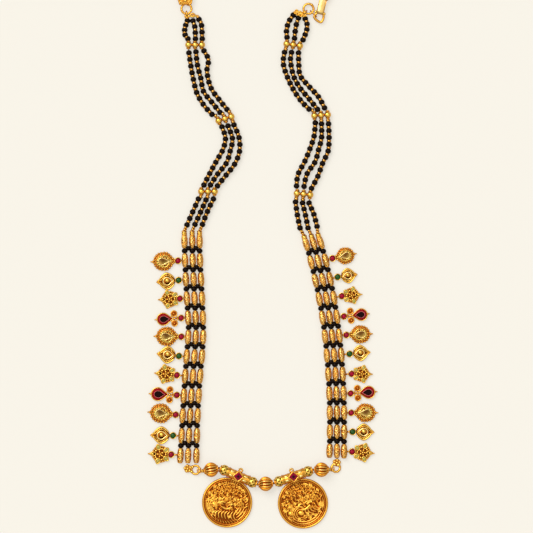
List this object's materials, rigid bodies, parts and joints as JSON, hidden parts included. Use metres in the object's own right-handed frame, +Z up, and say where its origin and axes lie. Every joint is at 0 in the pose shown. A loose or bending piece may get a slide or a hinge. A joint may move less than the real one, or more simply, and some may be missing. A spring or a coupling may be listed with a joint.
{
  "type": "mangalsutra necklace",
  "caption": "Gold and black bead bridal necklace lying flat, with strands, filigree barrel bands, jewelled side dangles and coin pendants on tube bails.",
  "frame": {"origin": "centre of the necklace's plan box, on the surface it lies on", "axes": "+Z up from the surface, +Y towards the clasp and back chain, +X to the right of the picture"},
  "size_m": [0.1156, 0.3046, 0.0074],
  "materials": {
    "gold": "satin gold",
    "filigree_gold": "pierced and granulated gold",
    "relief_gold": "cast relief gold",
    "bright_gold": "polished gold",
    "black_glass": "glossy black glass beads",
    "ruby": "polished red stone"
  },
  "bodies": {
    "root": {"back_chain": "gold", "chain_end_ring": "gold", "clasp_bar": "bright_gold", "coin_pendant_left": "relief_gold", "coin_pendant_right": "relief_gold", "column_left_1": "filigree_gold", "column_left_2": "filigree_gold", "column_left_3": "filigree_gold", "column_right_1": "filigree_gold", "column_right_2": "filigree_gold", "column_right_3": "filigree_gold", "connector_link": "gold", "corner_ring_left": "gold", "corner_ring_right": "gold", "drop_dangle_left_4": "ruby", "drop_dangle_left_8": "ruby", "drop_dangle_right_4": "ruby", "drop_dangle_right_8": "ruby", "end_cap": "gold", "front_wire": "gold", "leaf_dangle_left_10": "gold", "leaf_dangle_left_2": "gold", "leaf_dangle_left_6": "gold", "leaf_dangle_right_10": "gold", "leaf_dangle_right_2": "gold", "leaf_dangle_right_6": "gold", "pear_dangle_left_1": "gold", "pear_dangle_left_5": "gold", "pear_dangle_left_9": "gold", "pear_dangle_right_1": "gold", "pear_dangle_right_5": "gold", "pear_dangle_right_9": "gold", "ribbed_bead_centre": "gold", "ribbed_bead_left": "gold", "ribbed_bead_right": "gold", "spacer_left_1": "bright_gold", "spacer_left_2": "bright_gold", "spacer_left_3": "bright_gold", "spacer_right_1": "bright_gold", "spacer_right_2": "bright_gold", "spacer_right_3": "bright_gold", "star_dangle_left_11": "gold", "star_dangle_left_3": "gold", "star_dangle_left_7": "gold", "star_dangle_right_11": "gold", "star_dangle_right_3": "gold", "star_dangle_right_7": "gold", "strand_fork_left": "gold", "strand_fork_right": "gold", "strand_left_1": "black_glass", "strand_left_2": "black_glass", "strand_left_3": "black_glass", "strand_right_1": "black_glass", "strand_right_2": "black_glass", "strand_right_3": "black_glass", "top_ring_right": "gold"}
  },
  "joints": []
}
